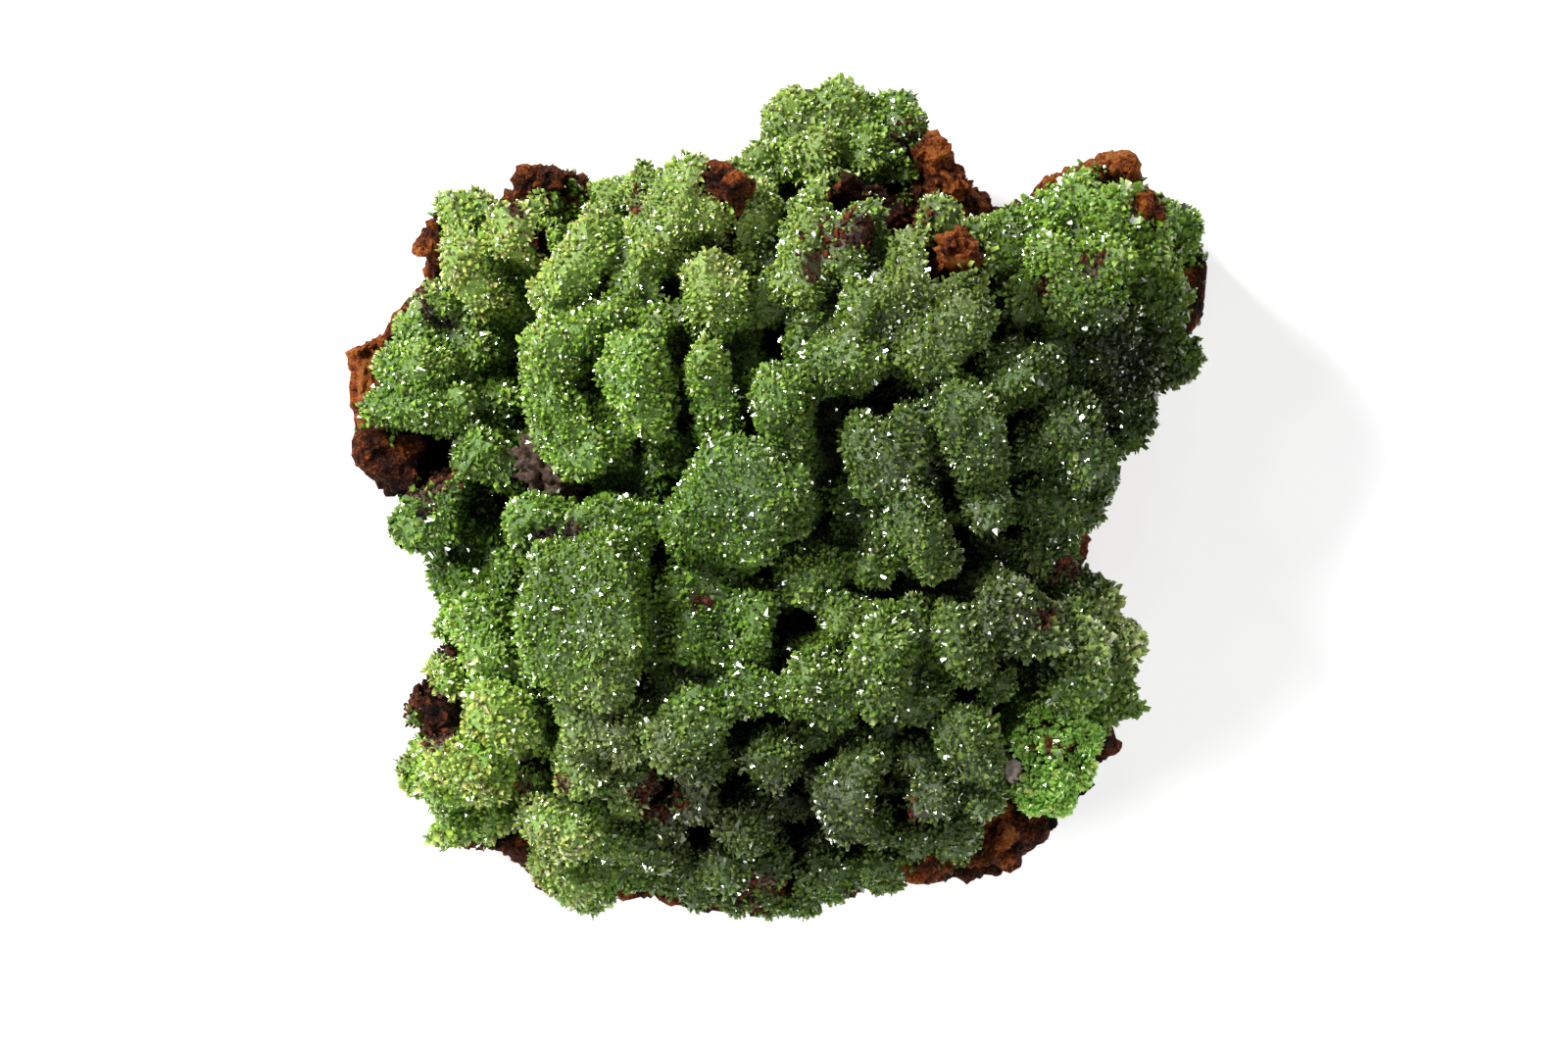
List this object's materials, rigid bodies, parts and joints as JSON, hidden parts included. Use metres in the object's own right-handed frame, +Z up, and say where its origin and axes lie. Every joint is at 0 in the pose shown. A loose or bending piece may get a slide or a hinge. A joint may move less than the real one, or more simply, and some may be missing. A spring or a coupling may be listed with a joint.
{
  "type": "austinite specimen",
  "caption": "Mineral hand specimen: lumpy green austinite crystal crust on a rust-brown limonite rock, lying on the flat of its rock.",
  "frame": {"origin": "middle of the base, on the surface it rests on", "axes": "+Z up out of the crystal face, +X to the right and +Y to the top of the crystal face"},
  "size_m": [0.089, 0.0874, 0.0431],
  "materials": {
    "austinite": "glassy green crystals",
    "austinite_lime": "glassy lime-green crystals",
    "limonite": "rough earthy rust brown",
    "goethite": "satin grey-brown",
    "manganese_oxide": "satin black"
  },
  "bodies": {
    "root": {"limonite_matrix": "limonite", "austinite_crust": "austinite", "austinite_rosette": "austinite_lime", "goethite_nodule": "goethite", "goethite_pebble": "goethite", "manganese_beads": "manganese_oxide"}
  },
  "joints": []
}
